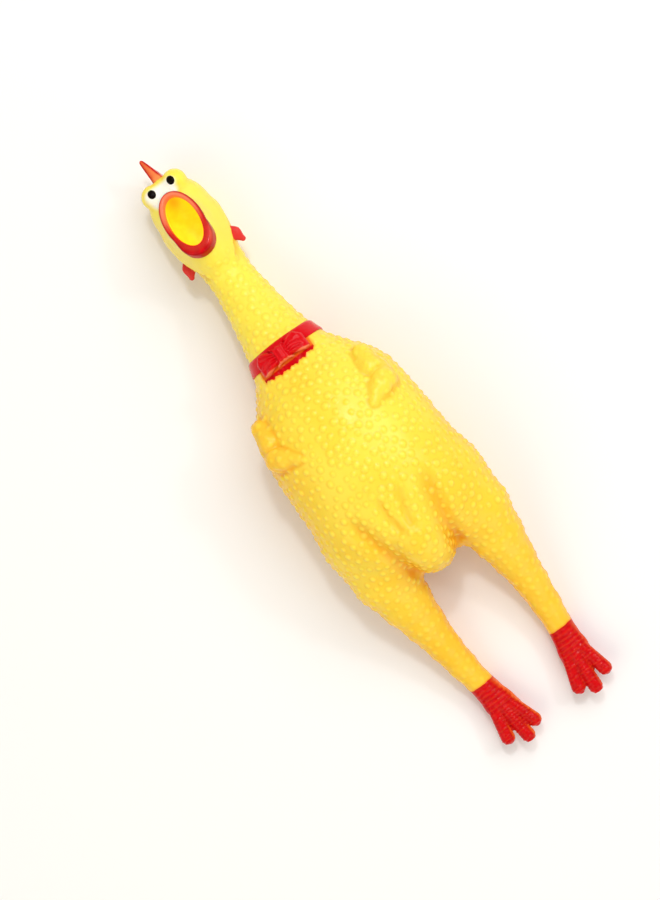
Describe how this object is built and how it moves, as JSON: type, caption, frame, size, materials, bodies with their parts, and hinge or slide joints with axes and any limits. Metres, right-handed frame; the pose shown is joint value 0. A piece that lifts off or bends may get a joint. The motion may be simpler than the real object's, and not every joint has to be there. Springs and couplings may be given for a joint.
{
  "type": "squeaky rubber chicken toy",
  "caption": "Soft hollow vinyl rubber chicken lying on its back, with a gaping beak, comb, bow tie, bumpy skin and a reed squeaker.",
  "frame": {"origin": "on the resting surface under the middle of the toy, which lies on its back", "axes": "+Y from the feet to the head, +Z out of the belly, +X to the chicken's left"},
  "size_m": [0.0834, 0.32, 0.062],
  "materials": {
    "yellow_vinyl": "glossy soft vinyl with small raised bumps",
    "red_vinyl": "glossy red paint on soft vinyl",
    "black_paint": "glossy black paint on soft vinyl",
    "squeaker_plastic": "moulded natural polypropylene",
    "reed_film": "thin polyester strip"
  },
  "bodies": {
    "torso": {"torso_skin": "yellow_vinyl", "neck_base_fold": "yellow_vinyl", "left_hip_fold": "yellow_vinyl", "right_hip_fold": "yellow_vinyl", "collar": "red_vinyl", "bow_loop_left": "red_vinyl", "bow_loop_right": "red_vinyl", "bow_knot": "red_vinyl"},
    "belly": {"belly_panel": "yellow_vinyl"},
    "neck": {"neck_skin": "yellow_vinyl", "neck_top_fold": "yellow_vinyl", "squeaker_housing": "squeaker_plastic", "reed_block": "squeaker_plastic", "reed_clip": "squeaker_plastic", "squeaker_cap": "squeaker_plastic"},
    "reed": {"reed_tongue": "reed_film"},
    "head": {"head_skin": "yellow_vinyl", "mouth_rim": "red_vinyl", "left_pupil": "black_paint", "right_pupil": "black_paint", "comb_root": "red_vinyl"},
    "comb": {"comb": "red_vinyl"},
    "left_wattle": {"left_wattle": "red_vinyl"},
    "right_wattle": {"right_wattle": "red_vinyl"},
    "left_thigh": {"left_thigh": "yellow_vinyl", "left_knee_fold": "yellow_vinyl"},
    "left_shank": {"left_shank": "yellow_vinyl", "left_ankle_fold": "yellow_vinyl"},
    "left_foot": {"left_foot": "red_vinyl"},
    "right_thigh": {"right_thigh": "yellow_vinyl", "right_knee_fold": "yellow_vinyl"},
    "right_shank": {"right_shank": "yellow_vinyl", "right_ankle_fold": "yellow_vinyl"},
    "right_foot": {"right_foot": "red_vinyl"}
  },
  "joints": [
    {"name": "neck_sway", "type": "hinge", "parent": "torso", "child": "neck", "pos_m": [0, 0.06076, 0.02521], "axis": [0, 0, 1], "range_deg": [-30, 30], "stiffness_Nm_per_rad": 0.15, "deforming": ["neck_base_fold"]},
    {"name": "head_nod", "type": "hinge", "parent": "neck", "child": "head", "pos_m": [0, 0.09646, 0.01762], "axis": [1, 0, 0], "range_deg": [-10, 40], "stiffness_Nm_per_rad": 0.08, "deforming": ["neck_top_fold"]},
    {"name": "reed_flutter", "type": "hinge", "parent": "neck", "child": "reed", "pos_m": [0, 0.08141, 0.02134], "axis": [1, 0, 0], "range_deg": [-4, 1.5], "stiffness_Nm_per_rad": 0.0004},
    {"name": "comb_flex", "type": "hinge", "parent": "head", "child": "comb", "pos_m": [0, 0.1486, 0.0188], "axis": [0, 0, 1], "range_deg": [-20, 20], "stiffness_Nm_per_rad": 0.01, "deforming": ["comb_root"]},
    {"name": "left_wattle_flap", "type": "hinge", "parent": "head", "child": "left_wattle", "pos_m": [0.011, 0.1056, 0.016], "axis": [0, 1, 0], "range_deg": [0, 35], "stiffness_Nm_per_rad": 0.002},
    {"name": "right_wattle_flap", "type": "hinge", "parent": "head", "child": "right_wattle", "pos_m": [-0.011, 0.1056, 0.016], "axis": [0, -1, 0], "range_deg": [0, 35], "stiffness_Nm_per_rad": 0.002},
    {"name": "left_hip_splay", "type": "hinge", "parent": "torso", "child": "left_thigh", "pos_m": [0.0253, -0.079, 0.0186], "axis": [0, 0, 1], "range_deg": [-4, 25], "stiffness_Nm_per_rad": 0.12, "deforming": ["left_hip_fold"]},
    {"name": "left_knee_flex", "type": "hinge", "parent": "left_thigh", "child": "left_shank", "pos_m": [0.025, -0.0995, 0.0134], "axis": [-1, 0, 0], "range_deg": [-4, 40], "stiffness_Nm_per_rad": 0.08, "deforming": ["left_knee_fold"]},
    {"name": "left_ankle_flex", "type": "hinge", "parent": "left_shank", "child": "left_foot", "pos_m": [0.0231, -0.1208, 0.0083], "axis": [-1, 0, 0], "range_deg": [-8, 40], "stiffness_Nm_per_rad": 0.04, "deforming": ["left_ankle_fold"]},
    {"name": "right_hip_splay", "type": "hinge", "parent": "torso", "child": "right_thigh", "pos_m": [-0.0253, -0.079, 0.0186], "axis": [0, 0, -1], "range_deg": [-4, 25], "stiffness_Nm_per_rad": 0.12, "deforming": ["right_hip_fold"]},
    {"name": "right_knee_flex", "type": "hinge", "parent": "right_thigh", "child": "right_shank", "pos_m": [-0.025, -0.0995, 0.0134], "axis": [-1, 0, 0], "range_deg": [-4, 40], "stiffness_Nm_per_rad": 0.08, "deforming": ["right_knee_fold"]},
    {"name": "right_ankle_flex", "type": "hinge", "parent": "right_shank", "child": "right_foot", "pos_m": [-0.0231, -0.1208, 0.0083], "axis": [-1, 0, 0], "range_deg": [-8, 40], "stiffness_Nm_per_rad": 0.04, "deforming": ["right_ankle_fold"]},
    {"name": "belly_squeeze", "type": "slide", "parent": "torso", "child": "belly", "axis": [0, 0, -1], "range_m": [0, 0.009], "stiffness_N_per_m": 300}
  ]
}
